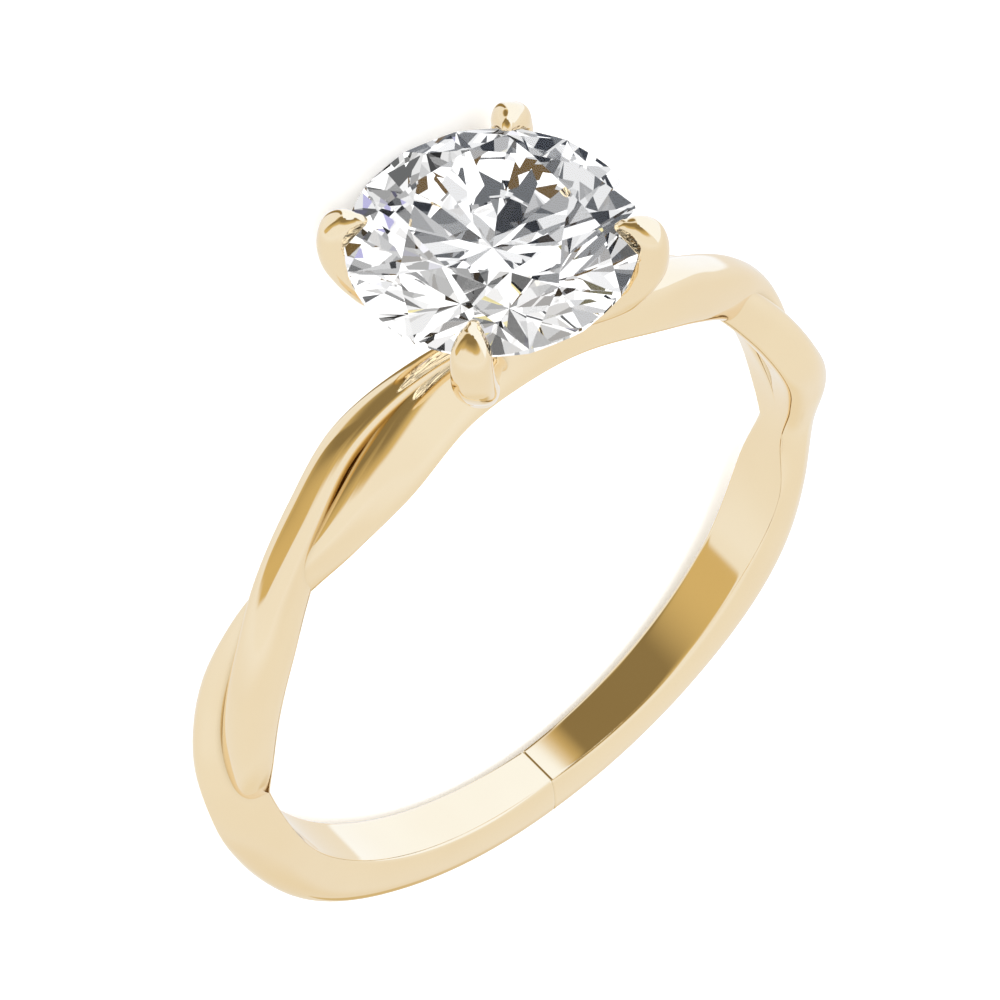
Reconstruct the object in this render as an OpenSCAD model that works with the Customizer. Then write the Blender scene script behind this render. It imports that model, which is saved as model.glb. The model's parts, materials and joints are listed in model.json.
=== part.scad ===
// A four claw solitaire ring. Its shank is two strands twisted round each other on each
// shoulder and closed below by a plain band. It lies on its side as a loose ring rests: the
// stone's girdle and two places low on the band touch the floor, and the head is towards +Y.

/* [Finger hole] */
// Diameter of the finger hole
bore_d = 16.5; // [14:0.1:21]

/* [Plain band] */
// Width of the plain band at the very bottom, across the finger
band_w = 1.4; // [1.1:0.05:2.4]
// Width of the plain band where the twist ends
band_end_w = 1.8; // [1.4:0.05:2.8]
// Thickness of the plain band, from the finger hole outwards
band_t = 1.7; // [1.3:0.05:2.4]
// Depth of the fine joint line across the very bottom
seam_depth = 0.04; // [0.01:0.01:0.1]
// Angle from the head to where the twist has become the plain band
band_angle = 127; // [118:1:140]

/* [Twisted strands] */
// Width of one strand, across the finger
strand_w = 1.1; // [0.9:0.05:1.6]
// Thickness of one strand, from the finger outwards
strand_t = 1.4; // [1.1:0.05:1.8]
// Distance between the middles of the two strands where they run side by side
strand_spread = 1.3; // [1:0.05:1.7]
// Height of a strand's middle over the finger hole at the first crossing
strand_lift = 0.9; // [0.7:0.05:1.2]
// Squareness of the strand's inner half, where 2 is an ellipse
inner_square = 2.8; // [2:0.1:3.2]
// Angle from the head to the first crossing
first_cross = 48; // [42:1:54]
// Angle from the head to the second crossing
second_cross = 95; // [88:1:102]

/* [Stone] */
// Diameter of the round brilliant at its girdle
stone_d = 6.6; // [5.5:0.1:7.5]
// Height of the girdle's lower edge over the middle of the finger hole
stone_h = 13.35; // [12.8:0.05:14.5]
// Height of the crown over the girdle
crown_h = 0.95; // [0.7:0.05:1.3]
// Depth of the pavilion under the girdle
pavilion_h = 2.8; // [2.4:0.05:3]
// Thickness of the girdle
girdle_t = 0.16; // [0.14:0.01:0.3]
// Width of the table across its corners
table_d = 3.7; // [3:0.05:4.2]
// Turn of the facets round the stone's own axis
stone_turn = 20; // [-22:1:22]

/* [Claws] */
// Width of a claw
claw_w = 1; // [0.8:0.05:1.4]
// How far the outside of a claw stands out from the girdle
claw_out = 0.65; // [0.5:0.05:1]
// Height of the claws over the girdle
claw_top = 1; // [0.9:0.05:1.3]
// Angle of a claw from the plane of the ring, seen from above the stone
claw_angle = 43.5; // [40:0.5:50]
// Squareness of a claw's section, where 2 is an ellipse
claw_square = 2.4; // [2:0.1:3]
// Clearance between the stone and its claws
seat_gap = 0.03; // [0.01:0.01:0.08]

/* [Hidden] */
bore_r = bore_d / 2;
stone_r = stone_d / 2;
table_r = table_d / 2;
ring_step = 4;
wire_sides = 20;
claw_sides = 16;

// One strand of the shank, from its tip under the second crossing on one shoulder, over
// the head and down the other shoulder to the middle of the plain band. Each row: angle
// from the head, side offset, height over the finger hole, half width, half thickness,
// how square the outer half is, where 2 is an ellipse, and how far the section leans over
// sideways for its height.
COLUMN_ANGLE = 0;
COLUMN_SIDE = 1;
COLUMN_LIFT = 2;
COLUMN_WIDE = 3;
COLUMN_THICK = 4;
COLUMN_SQUARE = 5;
COLUMN_LEAN = 6;
function side(share) = share * strand_spread / 2;
function lift(share) = share * strand_lift;
function half_w(share) = share * strand_w / 2;
function half_t(share) = share * strand_t / 2;
function band(share) = share * band_t;
middle_cross = (first_cross + second_cross) / 2;
strand = [
    [-second_cross - 8, side(0.45), lift(0.2), half_w(0.55), half_t(0.6), 2.4, 0],
    [-second_cross, side(0.15), lift(0.27), half_w(0.8), half_t(0.75), 2.4, 0],
    [-second_cross + 12, side(-0.32), lift(0.45), half_w(1), half_t(0.85), 2.4, 0],
    [-middle_cross, side(-0.52), lift(0.68), half_w(1.05), half_t(0.93), 2.4, 0],
    [-first_cross - 10, side(-0.48), lift(0.96), half_w(1.08), half_t(1.04), 2.5, -0.05],
    [-first_cross, side(-0.03), lift(1.09), half_w(1.1), half_t(1.05), 2.8, -0.09],
    [-first_cross * 3 / 4, side(0.57), lift(1.27), half_w(1.05), half_t(1.02), 3.2, -0.22],
    [-first_cross / 2, side(1.05), lift(1.56), half_w(0.91), half_t(1.07), 3.3, -0.24],
    [-10, side(0.81), lift(1.59), half_w(0.7), half_t(1.05), 3.2, -0.2],
    [0, side(0.45), lift(1.51), half_w(0.69), half_t(1.04), 3.2, -0.39],
    [10, side(0.18), lift(1.44), half_w(0.71), half_t(1.04), 3.3, -0.6],
    [first_cross / 2, side(0.68), lift(1.25), half_w(0.68), half_t(0.93), 3.1, -0.54],
    [first_cross * 3 / 4, side(0.67), lift(1.08), half_w(0.63), half_t(0.8), 2.9, -0.2],
    [first_cross, side(-0.16), lift(0.88), half_w(0.74), half_t(0.78), 2.6, -0.05],
    [first_cross + 10, side(-0.71), lift(0.73), half_w(0.85), half_t(0.83), 2.4, 0],
    [middle_cross, side(-1.06), lift(0.67), half_w(0.98), half_t(0.94), 2.2, 0],
    [second_cross - 12, side(-0.66), lift(0.81), half_w(1.07), half_t(1.11), 1.8, 0],
    [second_cross, side(0), lift(0.8), half_w(1.23), half_t(1.17), 1.4, 0],
    [second_cross + 12, side(0.02), lift(0.63), half_w(1.7), half_t(1.36), 1.5, 0],
    [band_angle, 0, band(0.4), band_end_w / 2, band(0.59), 2.3, 0],
    [150, 0, band(0.41), band_w * 0.2 + band_end_w * 0.31, band(0.59), 2.3, 0],
    [179, 0, band(0.43), band_w / 2, band(0.67), 2.5, 0],
    [181, 0, band(0.43), band_w / 2 - seam_depth, band(0.67) - seam_depth, 2.5, 0]
];

// Smooth curve through one column of the table, at one angle.
function row_at(angle, i = 0) =
    i >= len(strand) - 2 || angle < strand[i + 1][COLUMN_ANGLE] ? i : row_at(angle, i + 1);
function slope(i, column) =
    let (a = max(i - 1, 0), b = min(i + 1, len(strand) - 1))
    (strand[b][column] - strand[a][column]) / (strand[b][COLUMN_ANGLE] - strand[a][COLUMN_ANGLE]);
function strand_at(angle, column) =
    let (
        i = row_at(angle),
        span = strand[i + 1][COLUMN_ANGLE] - strand[i][COLUMN_ANGLE],
        t = (angle - strand[i][COLUMN_ANGLE]) / span
    )
    strand[i][column] * (1 + 2 * t) * (1 - t) * (1 - t)
    + strand[i + 1][column] * t * t * (3 - 2 * t)
    + slope(i, column) * span * t * (1 - t) * (1 - t)
    - slope(i + 1, column) * span * t * t * (1 - t);

// Takes the place of cosine and sine in a section that is squarer than an ellipse.
function squared(value, power) = sign(value) * pow(abs(value), 2 / power);

// A point given by its angle from the head, radius and side offset. Before the ring is
// laid down the head is towards +Y and the finger lies along Z.
function on_ring(angle, radius, z) = [-radius * sin(angle), radius * cos(angle), z];

function strand_ring(angle) = [
    for (k = [0:wire_sides - 1])
        let (
            turn = 360 * k / wire_sides,
            power = cos(turn) > 0 ? strand_at(angle, COLUMN_SQUARE) : inner_square,
            outward = strand_at(angle, COLUMN_THICK) * squared(cos(turn), power),
            sideways = strand_at(angle, COLUMN_WIDE) * squared(sin(turn), power)
        )
        on_ring(
            angle,
            bore_r + strand_at(angle, COLUMN_LIFT) + outward,
            strand_at(angle, COLUMN_SIDE) + sideways + strand_at(angle, COLUMN_LEAN) * outward
        )
];
strand_start = strand[0][COLUMN_ANGLE];
strand_length = strand[len(strand) - 1][COLUMN_ANGLE] - strand_start;
strand_steps = ceil(strand_length / ring_step);
strand_rings = [
    for (i = [0:strand_steps]) strand_ring(strand_start + strand_length * i / strand_steps)
];

// One claw, from its root deep in the rail to its tip over the crown. Each row: radius and
// height of its outer face, radius and height of its inner face, half width.
claw_r = stone_r + claw_out;
rail_h = bore_r + lift(1.5);
function out(share) = share * claw_r;
function high(share) = rail_h + share * (stone_h - rail_h);
function over(share) = stone_h + girdle_t / 2 + share * claw_top;
claw = [
    [out(0.11), high(-0.14), out(0.07), high(-0.02), claw_w * 0.22],
    [out(0.235), high(0.09), out(0.2), high(0.19), claw_w * 0.24],
    [out(0.375), high(0.19), out(0.285), high(0.29), claw_w * 0.24],
    [out(0.535), high(0.28), out(0.415), high(0.4), claw_w * 0.27],
    [out(0.69), high(0.38), out(0.55), high(0.52), claw_w * 0.35],
    [out(0.8), high(0.48), out(0.63), high(0.62), claw_w * 0.43],
    [out(0.86), high(0.58), out(0.695), high(0.69), claw_w * 0.49],
    [out(0.92), high(0.68), out(0.74), high(0.76), claw_w * 0.5],
    [out(0.98), high(0.81), out(0.77), high(0.86), claw_w * 0.49],
    [out(1), high(0.93), out(0.78), high(0.95), claw_w * 0.48],
    [out(0.995), over(0.05), out(0.78), over(-0.01), claw_w * 0.465],
    [out(0.965), over(0.4), out(0.77), over(0.1), claw_w * 0.45],
    [out(0.91), over(0.64), out(0.755), over(0.18), claw_w * 0.39],
    [out(0.84), over(0.78), out(0.73), over(0.28), claw_w * 0.28],
    [out(0.765), over(0.74), out(0.695), over(0.43), claw_w * 0.14]
];
function claw_ring(row) = [
    for (k = [0:claw_sides - 1])
        let (
            turn = 360 * k / claw_sides,
            along = squared(cos(turn), claw_square),
            mid_r = (row[0] + row[2]) / 2,
            mid_h = (row[1] + row[3]) / 2
        )
        [
            mid_r + (row[0] - mid_r) * along,
            mid_h + (row[1] - mid_h) * along,
            row[4] * squared(sin(turn), claw_square)
        ]
];
claw_rings = [for (row = claw) claw_ring(row)];
claw_turns = [claw_angle, 180 - claw_angle, 180 + claw_angle, -claw_angle];

// The lie of the ring on the floor, found from its own points: the tilt at which the
// head and the shank come down to the same height.
function turned(points, angle) = [
    for (p = points)
        [p[0] * cos(angle) + p[2] * sin(angle), p[1], p[2] * cos(angle) - p[0] * sin(angle)]
];
one_strand = [for (ring = strand_rings) each ring];
one_claw = [for (ring = claw_rings) each ring];
girdle_ring = [for (turn = [0:5:355]) [stone_r * cos(turn), stone_h, stone_r * sin(turn)]];
shank_points = concat(one_strand, turned(one_strand, 180));
claw_points = [for (angle = claw_turns) each turned(one_claw, angle)];
head_points = concat(claw_points, girdle_ring);
function lowest(points, tilt) = min([for (p = points) p[1] * sin(tilt) + p[2] * cos(tilt)]);
function rest_tilt(low = -5, high = 20, left = 20) =
    let (tilt = (low + high) / 2)
    left == 0 ? tilt :
    lowest(head_points, tilt) < lowest(shank_points, tilt)
        ? rest_tilt(tilt, high, left - 1)
        : rest_tilt(low, tilt, left - 1);
tilt = rest_tilt();
floor_z = min(lowest(head_points, tilt), lowest(shank_points, tilt));
laid_y = [
    for (p = concat(shank_points, head_points)) p[1] * cos(tilt) - p[2] * sin(tilt)
];
middle_y = (min(laid_y) + max(laid_y)) / 2;

module laid_down() {
    translate([0, -middle_y, -floor_z]) rotate([tilt, 0, 0]) children();
}

// Skin over a row of rings that all have the same number of points.
module skin(rings) {
    sides = len(rings[0]);
    last = len(rings) - 1;
    polyhedron(
        points = [for (ring = rings) each ring],
        faces = concat(
            [[for (k = [sides - 1:-1:0]) k]],
            [for (i = [0:last - 1], k = [0:sides - 1])
                let (n = (k + 1) % sides)
                each [
                    [i * sides + k, (i + 1) * sides + n, (i + 1) * sides + k],
                    [i * sides + k, i * sides + n, (i + 1) * sides + n]
                ]
            ],
            [[for (k = [0:sides - 1]) last * sides + k]]
        )
    );
}

// The stone's own heights: where the star facets and the long pavilion facets end.
star_r = (table_r * cos(22.5) + stone_r) / 2;
star_y = crown_h * (stone_r - star_r * cos(22.5)) / (stone_r - table_r);
main_r = stone_r * 0.23;
main_y = pavilion_h * (1 - main_r * cos(22.5) / stone_r);
crown_y = stone_h + girdle_t;

// The room the stone takes in the claws, with its clearance.
module stone_room() {
    rotate([-90, 0, 0])
    rotate_extrude($fn = 64)
    polygon([
        [0, stone_h - pavilion_h - seat_gap * 1.5],
        [stone_r + seat_gap, stone_h - seat_gap / 2],
        [stone_r + seat_gap, crown_y + seat_gap / 2],
        [star_r + seat_gap, crown_y + star_y + seat_gap],
        [table_r + seat_gap, crown_y + crown_h + seat_gap],
        [table_r + seat_gap, crown_y + crown_h * 2],
        [0, crown_y + crown_h * 2]
    ]);
}

// The joint line is a fine groove across the finger hole at the very bottom.
module seam_groove() {
    translate([0, -bore_r, 0])
    rotate([0, 0, 45])
    cube([seam_depth * 1.4, seam_depth * 1.4, 20], center = true);
}

module ring_body() {
    color("gold")
    laid_down()
    difference() {
        union() {
            skin(strand_rings);
            rotate([0, 180, 0]) skin(strand_rings);
            for (angle = claw_turns) rotate([0, angle, 0]) skin(claw_rings);
        }
        cylinder(r = bore_r, h = 20, center = true, $fn = 180);
        seam_groove();
        stone_room();
    }
}

// The round brilliant. Its points are the one at the middle below, eight round it, the
// girdle's lower and upper edge, eight on the crown and the table's corners.
girdle_points = 64;
function round_at(radius, angle, height) = [radius * cos(angle), height, -radius * sin(angle)];

// How far a half facet's plane dips where the round girdle passes outside its edge.
function girdle_dip(k, rise, inner_r) =
    let (
        turn = 360 * (k % (girdle_points / 16)) / girdle_points,
        edge_r = stone_r * cos(11.25)
    )
    (stone_r * cos(turn - 11.25) - edge_r) * rise / (edge_r - inner_r * cos(11.25));

module center_stone() {
    step = 360 / girdle_points;
    per = girdle_points / 8;
    points = concat(
        [[0, stone_h - pavilion_h, 0]],
        [for (k = [0:7]) round_at(main_r, 45 * k + 22.5, stone_h - main_y)],
        [for (k = [0:girdle_points - 1])
            round_at(stone_r, step * k, stone_h + girdle_dip(k, main_y, main_r))],
        [for (k = [0:girdle_points - 1])
            round_at(stone_r, step * k, crown_y - girdle_dip(k, star_y, star_r))],
        [for (k = [0:7]) round_at(star_r, 45 * k + 22.5, crown_y + star_y)],
        [for (k = [0:7]) round_at(table_r, 45 * k, crown_y + crown_h)]
    );
    low = 1;
    girdle = 9;
    upper = girdle + girdle_points;
    star = upper + girdle_points;
    table = star + 8;
    main_facets = [for (k = [0:7]) [low + (k + 7) % 8, girdle + per * k, low + k, 0]];
    lower_halves = [for (k = [0:7], half = [0, per / 2]) concat(
        [low + k],
        [for (i = [half:half + per / 2]) girdle + (per * k + i) % girdle_points]
    )];
    girdle_band = [for (k = [0:girdle_points - 1])
        let (n = (k + 1) % girdle_points)
        [upper + k, upper + n, girdle + n, girdle + k]];
    upper_halves = [for (k = [0:7], half = [0, per / 2]) concat(
        [star + k],
        [for (i = [half + per / 2:-1:half]) upper + (per * k + i) % girdle_points]
    )];
    bezel_facets = [for (k = [0:7]) [star + (k + 7) % 8, table + k, star + k, upper + per * k]];
    star_facets = [for (k = [0:7]) [table + k, table + (k + 1) % 8, star + k]];
    table_facet = [[for (k = [7:-1:0]) table + k]];
    color("aliceblue")
    laid_down()
    rotate([0, stone_turn, 0])
    polyhedron(
        points = points,
        faces = concat(
            main_facets, lower_halves, girdle_band, upper_halves,
            bezel_facets, star_facets, table_facet
        )
    );
}

ring_body();
center_stone();
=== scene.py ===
"""Looks of the twisted shank ring: polished yellow gold and a round brilliant, lying on a pale
floor in soft studio light. Lengths are in millimetres until a mesh is made, which is in metres.
"""

import json
import math

import bpy
import numpy as np
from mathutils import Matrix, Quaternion, Vector


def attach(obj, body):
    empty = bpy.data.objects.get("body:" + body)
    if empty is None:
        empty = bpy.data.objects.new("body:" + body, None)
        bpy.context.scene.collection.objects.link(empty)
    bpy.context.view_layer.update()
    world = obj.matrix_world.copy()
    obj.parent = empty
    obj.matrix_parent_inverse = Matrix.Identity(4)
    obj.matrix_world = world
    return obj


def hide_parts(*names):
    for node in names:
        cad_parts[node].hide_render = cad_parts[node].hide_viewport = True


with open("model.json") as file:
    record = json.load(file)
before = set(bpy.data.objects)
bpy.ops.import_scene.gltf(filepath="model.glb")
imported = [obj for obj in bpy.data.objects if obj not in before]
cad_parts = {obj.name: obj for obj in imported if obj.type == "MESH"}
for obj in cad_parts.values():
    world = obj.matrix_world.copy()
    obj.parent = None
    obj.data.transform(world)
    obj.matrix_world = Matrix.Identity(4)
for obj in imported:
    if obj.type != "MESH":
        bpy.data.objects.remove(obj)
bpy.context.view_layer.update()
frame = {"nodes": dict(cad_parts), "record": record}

MM = 0.001

# The finger hole places the ring: its middle, its radius and the direction of the finger.
finger_hole = next(m for m in frame["record"]["mounts"] if m["name"] == "finger_hole")
bore_r = finger_hole["dims"]["r_mm"]
ring_middle = np.array(finger_hole["pos_m"]) / MM
finger_axis = np.array(finger_hole["axis"])
across_axis = np.array([1.0, 0.0, 0.0])
head_axis = np.cross(finger_axis, across_axis)

# Sizes of the metal and of the stone that it clears, the same as the solids have.
band_w = 1.4
band_end_w = 1.8
band_t = 1.7
band_angle = 127
seam_depth = 0.04
strand_w = 1.1
strand_t = 1.4
strand_spread = 1.3
strand_lift = 0.9
inner_square = 2.8
first_cross = 48
second_cross = 95
stone_r = 3.3
stone_h = 13.35
crown_h = 0.95
pavilion_h = 2.8
girdle_t = 0.16
table_r = 1.85
table_half_side = 22.5
claw_w = 1.0
claw_out = 0.65
claw_top = 1.0
claw_angle = 43.5
claw_square = 2.4
seat_gap = 0.03

# How softly a strand's inner face turns into its sides, and how far its hidden tip sinks under
# the strand over it, from nothing at the angle tip_end.
edge_round = 0.035
tip_sink = 0.05
tip_end = 12 - second_cross

# How finely the polished metal is modelled: strands by the degree, with closer sections next to
# the seam, and claws by the row of their tables, with a round cap on the end.
strand_sides = 72
strand_step = 1.0
seam_sections = (179.2, 179.6, 179.8)
claw_sides = 48
claw_steps = 8
cap_reach = 0.12
cap_turns = (20, 40, 58, 74)
cap_point = 0.05

# The floor's half width and the camera. Their lengths are in metres, and the lens is in mm.
floor_half = 0.6
camera_from = Vector((-33.07, 72.61, 57.1)) * MM
camera_aim = Vector((0.75, -0.66, 0.26)) * MM
camera_roll = math.radians(130.53)
camera_lens = 142.2
camera_near = 0.005
camera_far = 10


def grey(level):
    return (level, level, level, 1)


# The gold's colours, the scale of its tint and haze, and how far from a crease its painted shade
# reaches.
gold_tints = [(0.35, (0.93, 0.755, 0.485, 1)), (0.65, (0.95, 0.785, 0.515, 1))]
# Painted shade: the darker gold colour that the creases are given.
gold_crease_shade = (0.55, 0.4, 0.19, 1)
# Painted glow: the golden brown that the gold emits in place of light mirrored more often.
gold_deep_glow = (0.16, 0.1, 0.035, 1)
tint_scale = 260
haze_scale = 900
haze = (0.03, 0.09)
crease_reach = 0.2
crease_samples = 3
crease_open = (0.25, 0.8)

# The diamond's tint, its refraction, and the share of the mirror on its outside.
diamond_tints = [(0, (0.985, 0.99, 1, 1)), (1, grey(1))]
diamond_scale = 700
diamond_ior = 2.42
outer_mirror = 0.12

# How often light is mirrored in the gold and in the diamond before its path is ended.
gold_mirrors = 3
inner_mirrors = 4

# The floor's tints and their scale, how rough it is and how much it glows.
floor_tints = [(0, (0.9, 0.895, 0.885, 1)), (1, (0.92, 0.918, 0.91, 1))]
floor_scale = 40
floor_rough = 0.7
floor_glow = 0.25

# What the stone shows: patches of white, grey and near black, of which a few are tinted.
patch_scale = 3.5
patch_steps = [
    (0, (0.02, 0.021, 0.023, 1)),
    (0.21, (0.14, 0.145, 0.15, 1)),
    (0.3, grey(0.46)),
    (0.4, grey(0.82)),
    (0.49, grey(1.08)),
    (0.66, grey(1.45)),
]
untinted = 0.985
patch_blue = (0.5, 0.48, 0.75, 1)
patch_yellow = (0.95, 0.85, 0.45, 1)

# The light that falls on everything.
plain_light = (1.9, 1.89, 1.87, 1)

# What the metal mirrors, in degrees. Bearings turn about the head's axis, from the finger's axis
# towards +X, and heights go up to 90 along the head's axis. Rows are a bearing and a height: how
# far up the wall is pale, where it is brown, over what height it turns to gold, and the window's
# sill. brown_rise is in shares of the way from the pale part to the brown one.
horizon = (-2, 4)
ground_near = (0.895, 0.9, 0.925, 1)
ground_far = (0.94, 0.985, 1.1, 1)
ground_rise = (-33, 3)
pole_cream = (0.86, 0.82, 0.74, 1)
pole_rise = (-62, -78)
foot_gold = (0.68, 0.54, 0.3, 1)
foot_bearings = (50, 70, 135, 150)
foot_rise = (-68, -80)
wall_pale = (0.93, 0.965, 1.05, 1)
wall_gold = (0.69, 0.545, 0.27, 1)
wall_brown = (0.27, 0.21, 0.105, 1)
wall_pale_to = [
    (-180, 46), (-165, 40), (-150, 34), (-144, 31), (-140, -6), (-132, -8), (-120, 2), (-114, 8),
    (-106, 28), (-75, 41), (-45, 36), (-30, 30), (-10, 27), (20, 27), (30, 60), (150, 60),
    (165, 52), (180, 46),
]
wall_brown_at = [
    (-180, 58), (-145, 56), (-140, 42), (-130, 42), (-120, 74), (-100, 74), (-80, 66), (140, 66),
    (150, 88), (165, 75), (180, 58),
]
wall_fade = [(-180, 12), (-126, 12), (-121, 3), (-112, 3), (-106, 12), (180, 12)]
brown_rise = (0.2, 1)
window_white = (1.05, 1.2, 1.55, 1)
window_bearings = (30, 34, 148, 158)
window_sill = [(-180, 0), (30, 0), (60, -3), (90, -10), (120, -22), (150, -35), (180, -35)]
sill_rise = (-2, 1)
window_top = (79, 75)
post_brown = (0.3, 0.22, 0.09, 1)
post_bearings = (154, 158, 169, 173)
post_heights = (-32, -26, 42, 50)


def place(points):
    """From ring coordinates, in mm with the head along +Y and the finger along +Z, to the frame."""
    p = np.asarray(points, float)
    across, head, finger = p[..., 0:1], p[..., 1:2], p[..., 2:3]
    return (ring_middle + across * across_axis + head * head_axis + finger * finger_axis) * MM


def add_mesh(name, points, faces):
    """A new object, from points in metres."""
    mesh = bpy.data.meshes.new(name)
    mesh.from_pydata(points, [], faces)
    mesh.update()
    piece = bpy.data.objects.new(name, mesh)
    bpy.context.scene.collection.objects.link(piece)
    return piece


def tube_faces(rings, sides):
    """Faces between rings of points that follow one another."""
    faces = []
    for i in range(rings - 1):
        here, there = i * sides, (i + 1) * sides
        for k in range(sides):
            n = (k + 1) % sides
            faces.append((here + k, there + k, there + n, here + n))
    return faces


def squared(value, power):
    """The sine or cosine of a section that is round at power 2 and squarer above."""
    return np.sign(value) * np.abs(value) ** (2 / power)


def smooth_curve(places, values, at):
    """Cubic curve through the rows of a table. The places need not be evenly spaced."""
    places, values = np.asarray(places, float), np.asarray(values, float)
    before = np.clip(np.arange(len(places)) - 1, 0, None)
    after = np.clip(np.arange(len(places)) + 1, None, len(places) - 1)
    slopes = (values[after] - values[before]) / (places[after] - places[before])[:, None]
    i = np.clip(np.searchsorted(places, at, side="right") - 1, 0, len(places) - 2)
    span = (places[i + 1] - places[i])[:, None]
    t = (np.asarray(at) - places[i])[:, None] / span
    return (
        values[i] * (1 + 2 * t) * (1 - t) ** 2
        + values[i + 1] * t * t * (3 - 2 * t)
        + slopes[i] * span * t * (1 - t) ** 2
        - slopes[i + 1] * span * t * t * (1 - t)
    )


# One strand from its tip under the second crossing over the head to the middle of the plain
# band. Columns: angle from the head, side offset, height over the finger hole, half width,
# half thickness, squareness of the outer half, sideways lean of the section for its height.
# In twist, the columns of lengths are shares of the strand's own sizes.
middle_cross = (first_cross + second_cross) / 2
twist = [
    (-second_cross - 8, 0.45, 0.2, 0.55, 0.6, 2.4, 0),
    (-second_cross, 0.15, 0.27, 0.8, 0.75, 2.4, 0),
    (-second_cross + 12, -0.32, 0.45, 1, 0.85, 2.4, 0),
    (-middle_cross, -0.52, 0.68, 1.05, 0.93, 2.4, 0),
    (-first_cross - 10, -0.48, 0.96, 1.08, 1.04, 2.5, -0.05),
    (-first_cross, -0.03, 1.09, 1.1, 1.05, 2.8, -0.09),
    (-first_cross * 3 / 4, 0.57, 1.27, 1.05, 1.02, 3.2, -0.22),
    (-first_cross / 2, 1.05, 1.56, 0.91, 1.07, 3.3, -0.24),
    (-10, 0.81, 1.59, 0.7, 1.05, 3.2, -0.2),
    (0, 0.45, 1.51, 0.69, 1.04, 3.2, -0.39),
    (10, 0.18, 1.44, 0.71, 1.04, 3.3, -0.6),
    (first_cross / 2, 0.68, 1.25, 0.68, 0.93, 3.1, -0.54),
    (first_cross * 3 / 4, 0.67, 1.08, 0.63, 0.8, 2.9, -0.2),
    (first_cross, -0.16, 0.88, 0.74, 0.78, 2.6, -0.05),
    (first_cross + 10, -0.71, 0.73, 0.85, 0.83, 2.4, 0),
    (middle_cross, -1.06, 0.67, 0.98, 0.94, 2.2, 0),
    (second_cross - 12, -0.66, 0.81, 1.07, 1.11, 1.8, 0),
    (second_cross, 0, 0.8, 1.23, 1.17, 1.4, 0),
    (second_cross + 12, 0.02, 0.63, 1.7, 1.36, 1.5, 0),
]
strand = [
    (
        angle,
        side * strand_spread / 2,
        lift * strand_lift,
        half_w * strand_w / 2,
        half_t * strand_t / 2,
        square,
        lean,
    )
    for angle, side, lift, half_w, half_t, square, lean in twist
] + [
    (band_angle, 0, 0.4 * band_t, band_end_w / 2, 0.59 * band_t, 2.3, 0),
    (150, 0, 0.41 * band_t, band_w * 0.2 + band_end_w * 0.31, 0.59 * band_t, 2.3, 0),
    (180, 0, 0.43 * band_t, band_w / 2, 0.67 * band_t, 2.5, 0),
]


def strand_rings(angles):
    """Sections of the strand, pressed flat where they would stand in the finger hole. The hidden
    tip lies a little deeper in the metal, so that it shares no face with the strand over it."""
    table = np.array(strand, float)
    columns = smooth_curve(table[:, 0], table[:, 1:], angles)
    side, lift, half_w, half_t, square, lean = columns.T[..., None]
    turn = np.linspace(0, 2 * math.pi, strand_sides, endpoint=False)[None, :]
    power = np.where(np.cos(turn) > 0, square, inner_square)
    outward = half_t * squared(np.cos(turn), power)
    depth = (lift + outward) / edge_round
    sunk = tip_sink * np.clip((tip_end - angles) / (tip_end - strand[0][0]), 0, 1)[:, None]
    radius = bore_r + sunk + edge_round * np.logaddexp(0, depth)
    z = side + half_w * squared(np.sin(turn), power) + lean * outward
    a = np.radians(angles)[:, None]
    return np.stack([-radius * np.sin(a), radius * np.cos(a), z + 0 * a], axis=-1)


def shank():
    """Both strands in one sweep, from tip to tip, with the seam's groove between them. The second
    is the first turned half round the head's axis."""
    angles = np.append(np.arange(strand[0][0], 180, strand_step), seam_sections)
    one = strand_rings(angles)
    seam = strand_rings(np.array([180.0]))
    centre = seam.mean(axis=1, keepdims=True)
    seam = seam + (centre - seam) * seam_depth
    other = (one * [-1, 1, -1])[::-1]
    other = np.roll(other[:, ::-1], 1, axis=1)
    rings = np.concatenate([one, seam, other])
    count = len(rings)
    faces = tube_faces(count, strand_sides)
    faces.append(tuple(range(strand_sides)))
    faces.append(tuple(range((count - 1) * strand_sides, count * strand_sides))[::-1])
    return rings.reshape(-1, 3), faces


# One claw from its root in the rail to its tip over the crown. Columns: radius and height of
# its outer face, radius and height of its inner face, half width. Heights up to the girdle
# are shares of the way from the rail, and above it shares of the claw's top.
claw_r = stone_r + claw_out
rail_h = bore_r + 1.5 * strand_lift
claw_arm = [
    (0.11, -0.14, 0.07, -0.02, 0.22),
    (0.235, 0.09, 0.2, 0.19, 0.24),
    (0.375, 0.19, 0.285, 0.29, 0.24),
    (0.535, 0.28, 0.415, 0.4, 0.27),
    (0.69, 0.38, 0.55, 0.52, 0.35),
    (0.8, 0.48, 0.63, 0.62, 0.43),
    (0.86, 0.58, 0.695, 0.69, 0.49),
    (0.92, 0.68, 0.74, 0.76, 0.5),
    (0.98, 0.81, 0.77, 0.86, 0.49),
    (1, 0.93, 0.78, 0.95, 0.48),
]
claw_tip = [
    (0.995, 0.05, 0.78, -0.01, 0.465),
    (0.965, 0.4, 0.77, 0.1, 0.45),
    (0.91, 0.64, 0.755, 0.18, 0.39),
    (0.84, 0.78, 0.73, 0.28, 0.28),
    (0.765, 0.74, 0.695, 0.43, 0.14),
]


def claw_rows():
    """The two tables as one, in mm."""
    arm_h = stone_h - rail_h
    tip_h = stone_h + girdle_t / 2
    rows = [
        (r * claw_r, rail_h + h * arm_h, ri * claw_r, rail_h + hi * arm_h, w * claw_w)
        for r, h, ri, hi, w in claw_arm
    ]
    rows += [
        (r * claw_r, tip_h + h * claw_top, ri * claw_r, tip_h + hi * claw_top, w * claw_w)
        for r, h, ri, hi, w in claw_tip
    ]
    return np.array(rows)


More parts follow.
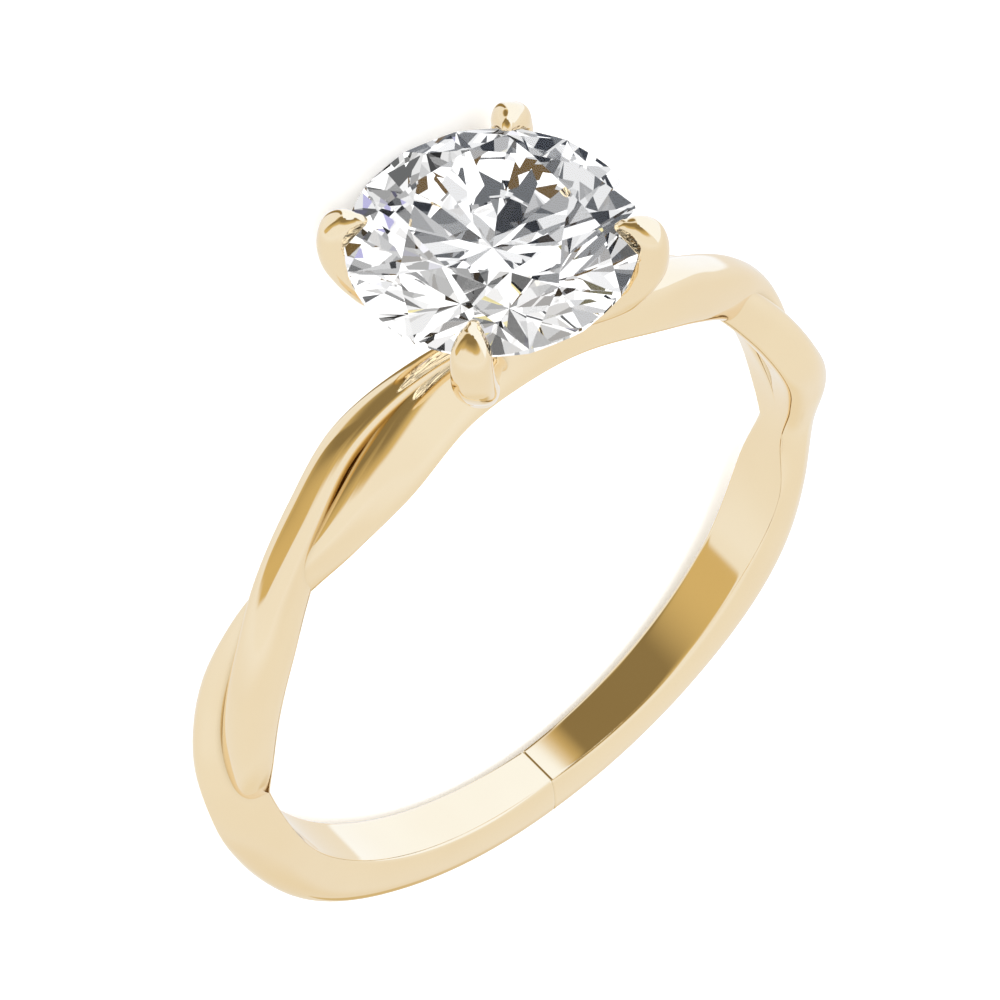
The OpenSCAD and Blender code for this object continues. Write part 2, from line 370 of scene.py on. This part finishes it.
def claw_section(rows):
    """A rounded square of points between the outer and the inner face, for each row."""
    turn = np.linspace(0, 2 * math.pi, claw_sides, endpoint=False)[None, :]
    along = squared(np.cos(turn), claw_square)
    outer_r, outer_h, inner_r, inner_h, half_w = rows.T[..., None]
    middle_r, middle_h = (outer_r + inner_r) / 2, (outer_h + inner_h) / 2
    return np.stack(
        [
            middle_r + (outer_r - middle_r) * along,
            middle_h + (outer_h - middle_h) * along,
            half_w * squared(np.sin(turn), claw_square),
        ],
        axis=-1,
    )


def clear_of_stone(points):
    """Moves points that lie in the stone's room to the nearest place on its wall."""
    crown_y = stone_h + girdle_t
    side_share = math.cos(math.radians(table_half_side))
    star_r = (table_r * side_share + stone_r) / 2
    star_y = crown_h * (stone_r - star_r * side_share) / (stone_r - table_r)
    wall = np.array(
        [
            (0, stone_h - pavilion_h - seat_gap * 1.5),
            (stone_r + seat_gap, stone_h - seat_gap / 2),
            (stone_r + seat_gap, crown_y + seat_gap / 2),
            (star_r + seat_gap, crown_y + star_y + seat_gap),
            (table_r + seat_gap, crown_y + crown_h + seat_gap),
            (0, crown_y + crown_h + seat_gap),
        ]
    )
    flat = points.reshape(-1, 3).copy()
    radius = np.hypot(flat[:, 0], flat[:, 2])
    here = np.stack([radius, flat[:, 1]], axis=1)
    inside = np.ones(len(here), bool)
    best = np.full(len(here), np.inf)
    target = here.copy()
    for a, b in zip(wall[:-1], wall[1:]):
        edge = b - a
        share = np.clip(((here - a) @ edge) / (edge @ edge), 0, 1)
        near = a + share[:, None] * edge
        away = np.hypot(*(here - near).T)
        outward = np.array([edge[1], -edge[0]])
        inside &= (here - a) @ outward < 0
        closer = away < best
        best[closer] = away[closer]
        target[closer] = near[closer]
    scale = target[inside, 0] / np.maximum(radius[inside], 1e-9)
    flat[inside, 0] *= scale
    flat[inside, 2] *= scale
    flat[inside, 1] = target[inside, 1]
    return flat.reshape(points.shape)


def claw():
    """A claw that points along +X, with a round end."""
    rows = claw_rows()
    last_row = len(rows) - 1
    at = np.linspace(0, last_row, last_row * claw_steps + 1)
    rings = claw_section(smooth_curve(np.arange(len(rows)), rows, at))
    last = rings[-1]
    centre = last.mean(axis=0)
    ahead = centre - rings[-4].mean(axis=0)
    ahead /= np.linalg.norm(ahead)
    caps = [
        centre + (last - centre) * math.cos(t) + ahead * cap_reach * math.sin(t)
        for t in np.radians(cap_turns)
    ]
    rings = clear_of_stone(np.concatenate([rings, caps]))
    end = rings[-1].mean(axis=0) + ahead * cap_reach * cap_point
    points = np.concatenate([rings.reshape(-1, 3), [end]])
    faces = tube_faces(len(rings), claw_sides)
    faces.append(tuple(range(claw_sides)))
    top = (len(rings) - 1) * claw_sides
    faces += [(top + (k + 1) % claw_sides, top + k, len(points) - 1) for k in range(claw_sides)]
    return points, faces


def turned(points, degrees):
    """The points turned about the head's axis."""
    a = math.radians(degrees)
    x, y, z = points.T
    return np.stack([x * math.cos(a) + z * math.sin(a), y, z * math.cos(a) - x * math.sin(a)], axis=1)


def metal():
    """The shank and its four claws, as points in ring coordinates and faces."""
    points, faces = shank()
    claw_points, claw_faces = claw()
    for angle in (claw_angle, 180 - claw_angle, 180 + claw_angle, -claw_angle):
        faces += [tuple(i + len(points) for i in face) for face in claw_faces]
        points = np.concatenate([points, turned(claw_points, angle)])
    return points, faces


class Graph:
    """Short ways to add the nodes that a light or a material needs."""

    def __init__(self, tree):
        self.nodes, self.links = tree.nodes, tree.links

    def feed(self, socket, value):
        if isinstance(value, bpy.types.NodeSocket):
            self.links.new(value, socket)
        else:
            socket.default_value = value

    def math(self, operation, *values):
        node = self.nodes.new("ShaderNodeMath")
        node.operation = operation
        for socket, value in zip(node.inputs, values):
            self.feed(socket, value)
        return node.outputs[0]

    def along(self, direction, axis):
        """How much of a direction lies along an axis."""
        node = self.nodes.new("ShaderNodeVectorMath")
        node.operation = "DOT_PRODUCT"
        self.feed(node.inputs[0], direction)
        node.inputs[1].default_value = tuple(axis)
        return node.outputs["Value"]

    def rise(self, value, low, high):
        """0 below low, 1 above high, smooth between. A high under the low makes it fall."""
        node = self.nodes.new("ShaderNodeMapRange")
        node.interpolation_type = "SMOOTHSTEP"
        self.feed(node.inputs["Value"], value)
        flip = high < low
        node.inputs["From Min"].default_value = min(low, high)
        node.inputs["From Max"].default_value = max(low, high)
        node.inputs["To Min"].default_value = 1.0 if flip else 0.0
        node.inputs["To Max"].default_value = 0.0 if flip else 1.0
        return node.outputs["Result"]

    def between(self, value, start, full, full_end, end):
        """1 from full to full_end, smooth down to 0 at start and at end."""
        return self.math("MULTIPLY", self.rise(value, start, full), self.rise(value, end, full_end))

    def spread(self, value, start=(0, 1), end=(0, 1)):
        """The value's part of the start range, carried over to the end range."""
        node = self.nodes.new("ShaderNodeMapRange")
        self.feed(node.inputs["Value"], value)
        node.inputs["From Min"].default_value, node.inputs["From Max"].default_value = start
        node.inputs["To Min"].default_value, node.inputs["To Max"].default_value = end
        return node.outputs["Result"]

    def noise(self, scale, where=None):
        """Soft noise from 0 to 1. With no place given, it runs over the object's own box."""
        node = self.nodes.new("ShaderNodeTexNoise")
        node.inputs["Scale"].default_value = scale
        if where is not None:
            self.links.new(where, node.inputs["Vector"])
        return node.outputs["Fac"]

    def ramp(self, value, stops, interpolation="LINEAR"):
        """Colours for a value from 0 to 1. The stops are places and colours, in rising order."""
        node = self.nodes.new("ShaderNodeValToRGB")
        node.color_ramp.interpolation = interpolation
        elements = node.color_ramp.elements
        elements[0].position, elements[-1].position = stops[0][0], stops[-1][0]
        for at, _ in stops[1:-1]:
            elements.new(at)
        for element, (_, colour) in zip(elements, stops):
            element.color = colour
        self.feed(node.inputs["Fac"], value)
        return node.outputs["Color"]

    def curve(self, value, rows):
        """Straight lines through rows of a bearing, -180 to 180, and a height, -90 to 90."""
        stops = [(at / 360 + 0.5, grey(height / 180 + 0.5)) for at, height in rows]
        shown = self.ramp(self.math("MULTIPLY_ADD", value, 1 / 360, 0.5), stops)
        return self.math("MULTIPLY_ADD", shown, 180.0, -90.0)

    def blend(self, share, first, second):
        """The first colour, or the second where the share is 1."""
        node = self.nodes.new("ShaderNodeMix")
        node.data_type = "RGBA"
        self.feed(node.inputs["Factor"], share)
        self.feed(node.inputs["A"], first)
        self.feed(node.inputs["B"], second)
        return node.outputs["Result"]

    def blend_shaders(self, share, first, second):
        node = self.nodes.new("ShaderNodeMixShader")
        for socket, value in zip(node.inputs, (share, first, second)):
            self.feed(socket, value)
        return node.outputs[0]


def new_material(name):
    material = bpy.data.materials.new(name)
    material.use_nodes = True
    g = Graph(material.node_tree)
    return material, g, g.nodes["Principled BSDF"]


def end_after(g, mirrors, shader, last):
    """Shows the last shader to light that has been mirrored so often, so that it doesn't end
    black, and the other one to all other light."""
    depth = g.nodes.new("ShaderNodeLightPath").outputs["Glossy Depth"]
    shown = g.blend_shaders(g.math("GREATER_THAN", depth, mirrors - 0.5), shader, last)
    g.links.new(shown, g.nodes["Material Output"].inputs["Surface"])


def gold():
    """Polished gold with a faint haze, and painted shade that darkens it in its creases. Light that
    is caught between its strands ends in a painted golden-brown glow."""
    material, g, shader = new_material("polished_gold")
    where = g.nodes.new("ShaderNodeTexCoord").outputs["Object"]
    crease = g.nodes.new("ShaderNodeAmbientOcclusion")
    crease.samples = crease_samples
    crease.only_local = True
    crease.inputs["Distance"].default_value = crease_reach * MM
    tint = g.ramp(g.noise(tint_scale, where), gold_tints)
    # Painted shade: the gold turns darker where ambient occlusion finds a crease close by.
    colour = g.blend(g.spread(crease.outputs["AO"], start=crease_open), gold_crease_shade, tint)
    g.feed(shader.inputs["Base Color"], colour)
    g.feed(shader.inputs["Roughness"], g.spread(g.noise(haze_scale, where), end=haze))
    shader.inputs["Metallic"].default_value = 1.0
    # Painted glow: light mirrored more than gold_mirrors times ends in a golden-brown emission from
    # the gold.
    deep_glow = g.nodes.new("ShaderNodeEmission")
    deep_glow.inputs["Color"].default_value = gold_deep_glow
    end_after(g, gold_mirrors, shader.outputs[0], deep_glow.outputs[0])
    return material


def diamond():
    """Clear and bright: a faint mirror on the outside of the facets, a full mirror inside them,
    and light that has been mirrored often is let out."""
    material, g, shader = new_material("diamond")
    where = g.nodes.new("ShaderNodeTexCoord").outputs["Object"]
    g.feed(shader.inputs["Base Color"], g.ramp(g.noise(diamond_scale, where), diamond_tints))
    shader.inputs["Roughness"].default_value = 0.0
    shader.inputs["IOR"].default_value = diamond_ior
    shader.inputs["Transmission Weight"].default_value = 1.0
    clear = g.nodes.new("ShaderNodeBsdfRefraction")
    clear.inputs["Roughness"].default_value = 0.0
    clear.inputs["IOR"].default_value = diamond_ior
    inside = g.nodes.new("ShaderNodeNewGeometry").outputs["Backfacing"]
    mirror = g.math("MAXIMUM", inside, outer_mirror)
    facets = g.blend_shaders(mirror, clear.outputs[0], shader.outputs[0])
    through = g.nodes.new("ShaderNodeBsdfTransparent")
    end_after(g, inner_mirrors, facets, through.outputs[0])
    return material


def pale_floor():
    """Nearly white, and glowing a little so that shadows on it stay faint."""
    material, g, shader = new_material("pale_floor")
    colour = g.ramp(g.noise(floor_scale), floor_tints)
    g.feed(shader.inputs["Base Color"], colour)
    g.feed(shader.inputs["Emission Color"], colour)
    shader.inputs["Emission Strength"].default_value = floor_glow
    shader.inputs["Roughness"].default_value = floor_rough
    return material


def facet_light(g, direction):
    """What the stone shows: white light broken by patches of grey and near black, a few tinted."""
    patches = g.nodes.new("ShaderNodeTexVoronoi")
    patches.inputs["Scale"].default_value = patch_scale
    g.links.new(direction, patches.inputs["Vector"])
    parts = g.nodes.new("ShaderNodeSeparateColor")
    g.links.new(patches.outputs["Color"], parts.inputs["Color"])
    pick, blue, yellow = parts.outputs
    shown = g.ramp(pick, patch_steps, "CONSTANT")
    shown = g.blend(g.math("GREATER_THAN", blue, untinted), shown, patch_blue)
    return g.blend(g.math("GREATER_THAN", yellow, untinted), shown, patch_yellow)


def studio_light(g, direction):
    """What the metal mirrors: a pale ground, a wall that turns to gold and brown higher up, a broad
    white window on one side and a dark post beside it."""
    height = g.math("DEGREES", g.math("ARCSINE", g.along(direction, head_axis)))
    out, side = g.along(direction, finger_axis), g.along(direction, across_axis)
    bearing = g.math("DEGREES", g.math("ARCTAN2", side, out))

    pale_to = g.curve(bearing, wall_pale_to)
    above = g.math("SUBTRACT", height, pale_to)
    golden = g.rise(g.math("DIVIDE", above, g.curve(bearing, wall_fade)), 0, 1)
    wall = g.blend(golden, wall_pale, wall_gold)
    share = g.math("DIVIDE", above, g.math("SUBTRACT", g.curve(bearing, wall_brown_at), pale_to))
    wall = g.blend(g.rise(share, *brown_rise), wall, wall_brown)

    ground = g.blend(g.rise(height, *ground_rise), ground_near, ground_far)
    ground = g.blend(g.rise(height, *pole_rise), ground, pole_cream)
    foot = g.math("MULTIPLY", g.between(bearing, *foot_bearings), g.rise(height, *foot_rise))
    ground = g.blend(foot, ground, foot_gold)
    light = g.blend(g.rise(height, *horizon), ground, wall)

    above_sill = g.math("SUBTRACT", height, g.curve(bearing, window_sill))
    window = g.math("MULTIPLY", g.between(bearing, *window_bearings), g.rise(above_sill, *sill_rise))
    window = g.math("MULTIPLY", window, g.rise(height, *window_top))
    light = g.blend(window, light, window_white)

    post = g.math("MULTIPLY", g.between(bearing, *post_bearings), g.between(height, *post_heights))
    return g.blend(post, light, post_brown)


def studio():
    """Plain pale light from all round, the studio's light for mirrors, and the facets' light for
    what has passed through the stone."""
    world = bpy.data.worlds.new("studio")
    world.use_nodes = True
    g = Graph(world.node_tree)
    direction = g.nodes.new("ShaderNodeTexCoord").outputs["Generated"]
    path = g.nodes.new("ShaderNodeLightPath")
    light = g.blend(path.outputs["Is Glossy Ray"], plain_light, studio_light(g, direction))
    through_stone = g.math("GREATER_THAN", path.outputs["Transmission Depth"], 0.5)
    light = g.blend(through_stone, light, facet_light(g, direction))
    g.links.new(light, g.nodes["Background"].inputs["Color"])
    return world


metal_points, metal_faces = metal()
ring_metal = add_mesh("ring_metal", place(metal_points).tolist(), metal_faces)
ring_metal.data.shade_smooth()
ring_metal.data.materials.append(gold())
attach(ring_metal, "root")
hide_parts("ring_body")

stone = frame["nodes"]["center_stone"]
stone.material_slots[0].material = diamond()

floor_corners = [(x * floor_half, y * floor_half, 0) for x, y in ((-1, -1), (1, -1), (1, 1), (-1, 1))]
floor = add_mesh("floor", floor_corners, [(0, 1, 2, 3)])
floor.data.materials.append(pale_floor())

# The metal doesn't mirror the floor, and light that the stone refracts meets neither of the two.
floor.visible_glossy = False
floor.visible_transmission = False
ring_metal.visible_transmission = False

bpy.context.scene.world = studio()
bpy.context.scene.view_settings.view_transform = "Standard"

camera_data = bpy.data.cameras.new("camera")
camera_data.lens = camera_lens
camera_data.clip_start = camera_near
camera_data.clip_end = camera_far
camera = bpy.data.objects.new("camera", camera_data)
camera.location = camera_from
camera.rotation_mode = "QUATERNION"
facing = (camera_from - camera_aim).to_track_quat("Z", "Y")
camera.rotation_quaternion = facing @ Quaternion((0, 0, 1), camera_roll)
bpy.context.scene.collection.objects.link(camera)
bpy.context.scene.camera = camera
